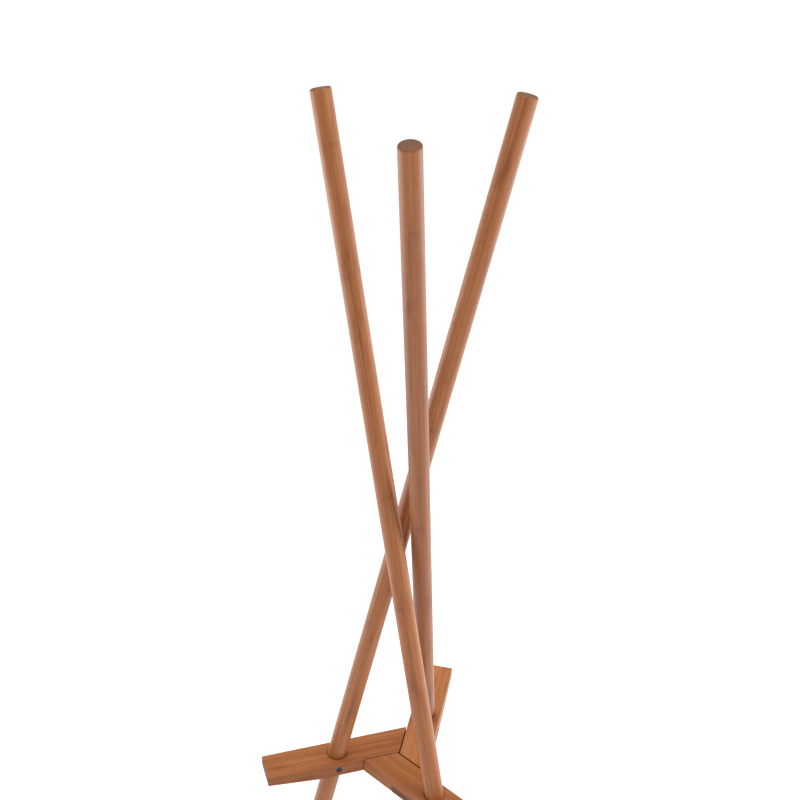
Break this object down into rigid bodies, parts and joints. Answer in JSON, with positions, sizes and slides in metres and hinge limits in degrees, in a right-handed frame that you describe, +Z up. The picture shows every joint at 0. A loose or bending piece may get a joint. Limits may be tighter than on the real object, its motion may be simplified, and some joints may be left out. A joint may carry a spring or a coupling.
{
  "type": "coat stand",
  "caption": "Slim tripod coat stand: slanted round bamboo poles cross above a pinwheel hub of lapped arms, and coats hang on the upper ends.",
  "frame": {"origin": "the hub's threefold axis at floor level, midway between the three feet", "axes": "+Z up; -X along the left arm, from the hub axis to its tip; +Y towards the back"},
  "size_m": [0.4419, 0.4725, 1.7579],
  "materials": {
    "bamboo": "carbonised laminated bamboo, satin lacquer",
    "dark_steel": "black-oxide steel",
    "zinc_steel": "zinc-plated steel",
    "felt": "dense wool felt"
  },
  "bodies": {
    "root": {"left_arm": "bamboo", "left_pole": "bamboo", "front_arm": "bamboo", "front_pole": "bamboo", "back_arm": "bamboo", "back_pole": "bamboo", "left_bolt": "dark_steel", "front_bolt": "dark_steel", "back_bolt": "dark_steel", "left_insert": "zinc_steel", "front_insert": "zinc_steel", "back_insert": "zinc_steel", "left_lap_screw_1": "zinc_steel", "left_lap_screw_2": "zinc_steel", "front_lap_screw_1": "zinc_steel", "front_lap_screw_2": "zinc_steel", "back_lap_screw_1": "zinc_steel", "back_lap_screw_2": "zinc_steel", "left_glide": "felt", "front_glide": "felt", "back_glide": "felt"}
  },
  "joints": []
}
